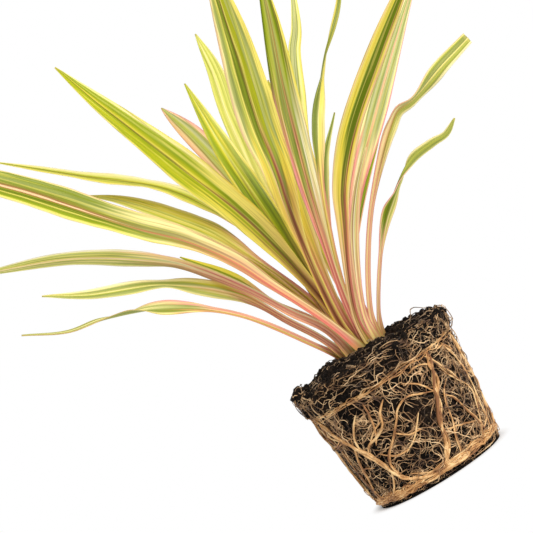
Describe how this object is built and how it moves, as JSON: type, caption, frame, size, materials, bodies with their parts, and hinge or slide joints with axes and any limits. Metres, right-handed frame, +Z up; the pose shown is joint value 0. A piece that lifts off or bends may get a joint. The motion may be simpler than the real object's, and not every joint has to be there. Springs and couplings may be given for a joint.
{
  "type": "cordyline plant with bare root ball",
  "caption": "Young cordyline with long narrow striped leaves fanning from one crown, its roots bare in a pot-shaped ball of soil with a flat base.",
  "frame": {"origin": "centre of the root ball's flat base", "axes": "+Z up along the plant's axis, -Y towards the viewer of the front, +X to the viewer's right"},
  "size_m": [0.3847, 0.391, 0.3734],
  "materials": {
    "soil": "rough, dark and crumbly, as moist potting mix",
    "roots": "matt, golden brown",
    "crown": "matt, dry brown sheaths over pale green",
    "leaf_gold": "satin, golden yellow and green stripes",
    "leaf_lime": "satin, yellow-green stripes",
    "leaf_olive": "satin, dark olive stripes with pale margins",
    "leaf_sage": "satin, grey-green with cream and pink margins",
    "leaf_cream": "satin, cream and pink"
  },
  "bodies": {
    "root": {"soil_ball": "soil", "root_net": "roots", "crown": "crown", "leaf_01": "leaf_olive", "leaf_02": "leaf_olive", "leaf_03": "leaf_sage", "leaf_04": "leaf_lime", "leaf_05": "leaf_olive", "leaf_06": "leaf_gold", "leaf_07": "leaf_lime", "leaf_08": "leaf_gold", "leaf_09": "leaf_sage", "leaf_10": "leaf_lime", "leaf_11": "leaf_lime", "leaf_12": "leaf_gold", "leaf_13": "leaf_gold", "leaf_14": "leaf_olive", "leaf_15": "leaf_olive", "leaf_16": "leaf_olive", "leaf_17": "leaf_olive", "leaf_18": "leaf_gold", "leaf_19": "leaf_cream", "leaf_20": "leaf_sage", "leaf_21": "leaf_olive", "leaf_22": "leaf_sage", "leaf_23": "leaf_olive", "leaf_24": "leaf_lime", "leaf_25": "leaf_gold", "leaf_26": "leaf_olive", "leaf_27": "leaf_lime", "leaf_28": "leaf_sage", "leaf_29": "leaf_olive"}
  },
  "joints": []
}
